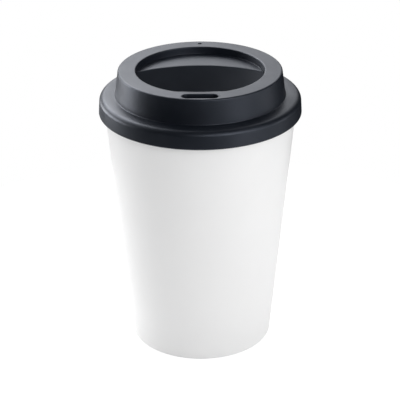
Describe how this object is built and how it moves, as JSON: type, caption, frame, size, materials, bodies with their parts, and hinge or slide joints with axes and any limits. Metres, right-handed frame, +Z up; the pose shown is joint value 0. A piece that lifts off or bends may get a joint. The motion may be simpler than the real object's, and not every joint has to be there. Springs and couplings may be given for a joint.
{
  "type": "insulated travel cup",
  "caption": "Tapered double-walled travel cup with a press-on drinking lid that has a sip slot and a half-moon recess.",
  "frame": {"origin": "middle of the foot ring's underside, on the cup's axis", "axes": "+Z up along the cup's axis, -Y from the axis towards the sip slot, +X to the right when the slot faces the viewer"},
  "size_m": [0.094, 0.094, 0.1348],
  "materials": {
    "shell_white": "smooth satin",
    "liner_white": "smooth satin",
    "lid_charcoal": "fine matte grain",
    "seal_black": "soft matte"
  },
  "bodies": {
    "cup": {"outer_shell": "shell_white", "inner_liner": "liner_white"},
    "lid": {"lid": "lid_charcoal", "seal_ring": "seal_black"}
  },
  "joints": [
    {"name": "lid_lift", "type": "slide", "parent": "cup", "child": "lid", "axis": [0, 0, 1], "range_m": [0, 0.06]}
  ]
}
